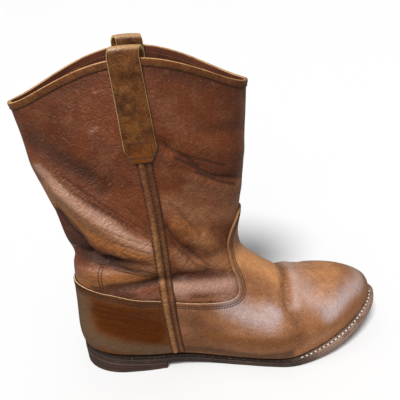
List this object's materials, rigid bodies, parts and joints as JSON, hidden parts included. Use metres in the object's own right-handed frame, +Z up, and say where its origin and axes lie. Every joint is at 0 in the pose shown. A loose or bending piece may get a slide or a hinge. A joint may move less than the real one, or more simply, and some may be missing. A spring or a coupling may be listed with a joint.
{
  "type": "pull-on boot",
  "caption": "Right pull-on leather boot with a slouched mid-calf shaft, scalloped collar, pull straps, round toe, stitched welt and a low heel",
  "frame": {"origin": "middle of the bounding box in X and Y, at floor level", "axes": "+X heel to toe, +Y to the inner (medial) side of the foot, +Z up; metres"},
  "size_m": [0.325, 0.1052, 0.3033],
  "materials": {
    "shaft_leather": "oiled, worn, fine pebble grain",
    "vamp_leather": "oiled, polished by wear",
    "counter_leather": "oiled, worn, dusty low down",
    "band_leather": "oiled, raw top edge",
    "strap_leather": "oiled, raw edges",
    "welt_leather": "stitched, edge dressed",
    "insole_leather": "bare, foot-polished",
    "sole_rubber": "worn, matt",
    "heel_rubber": "worn, matt"
  },
  "bodies": {
    "root": {"outsole": "sole_rubber", "heel": "heel_rubber", "welt": "welt_leather", "heel_rand": "welt_leather", "insole": "insole_leather", "upper": "shaft_leather", "vamp": "vamp_leather", "counter": "counter_leather", "shaft_seam_lateral": "shaft_leather", "shaft_seam_medial": "shaft_leather", "foot_seam_lateral": "counter_leather", "foot_seam_medial": "counter_leather", "collar_band": "band_leather", "pull_strap_lateral": "strap_leather", "pull_strap_medial": "strap_leather"}
  },
  "joints": []
}
